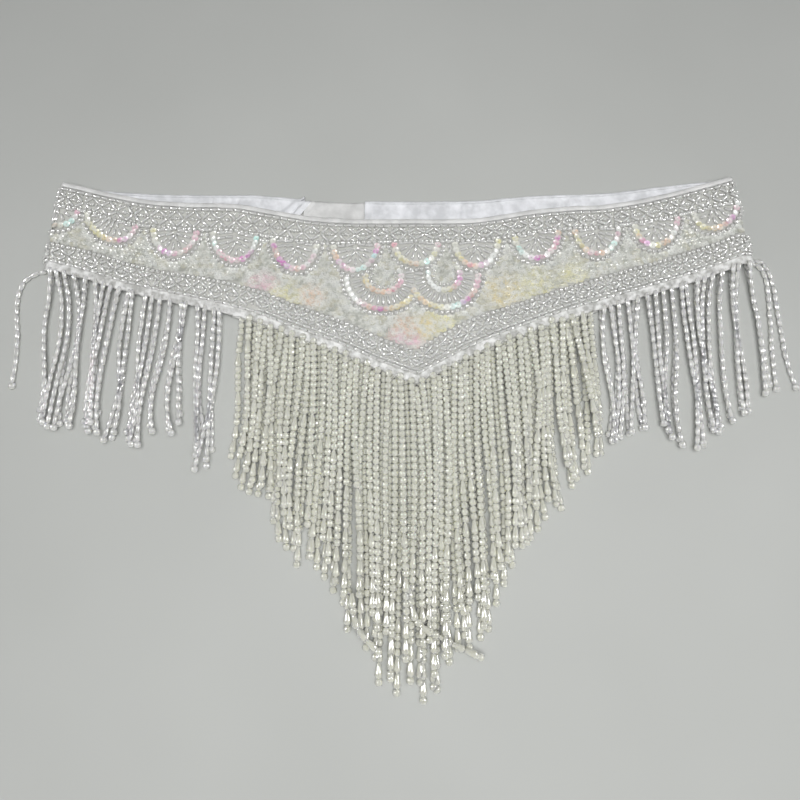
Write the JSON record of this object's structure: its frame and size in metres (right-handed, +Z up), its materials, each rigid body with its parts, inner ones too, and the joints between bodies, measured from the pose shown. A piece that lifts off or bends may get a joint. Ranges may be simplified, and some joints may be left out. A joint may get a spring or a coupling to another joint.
{
  "type": "beaded belly dance hip belt laid flat",
  "caption": "Beaded satin hip belt for belly dance, laid flat on its back wings, with a V-shaped front panel, scalloped beadwork borders and a long pearl fringe.",
  "frame": {"origin": "on the surface that the belt lies on, under the middle of the rectangle that the belt and its fringe cover", "axes": "+X across the belt, from the left side fold to the right one as seen from the front; +Y from the fringe to the waist edge; +Z up off the surface"},
  "size_m": [0.4882, 0.3262, 0.0096],
  "materials": {
    "satin": "white polyester satin, soft sheen",
    "lining_satin": "white lining satin with soft creases",
    "beadwork": "cloth covered with pearl bugles, round beads and iridescent sequins",
    "rice_pearls": "white rice-shaped imitation pearls, high lustre",
    "ivory_pearls": "ivory round and drop imitation pearls, high lustre"
  },
  "bodies": {
    "root": {"front_panel": "beadwork", "back_wing_left": "beadwork", "back_wing_right": "beadwork", "back_lining_left": "lining_satin", "back_lining_right": "lining_satin", "closure_tab": "satin", "waist_binding_front": "satin", "waist_binding_back_left": "satin", "waist_binding_back_right": "satin", "fringe_front_left": "rice_pearls", "fringe_front_right": "rice_pearls", "fringe_centre_upper": "ivory_pearls", "fringe_centre_lower": "ivory_pearls", "fringe_back_left": "rice_pearls", "fringe_back_right": "rice_pearls"}
  },
  "joints": []
}
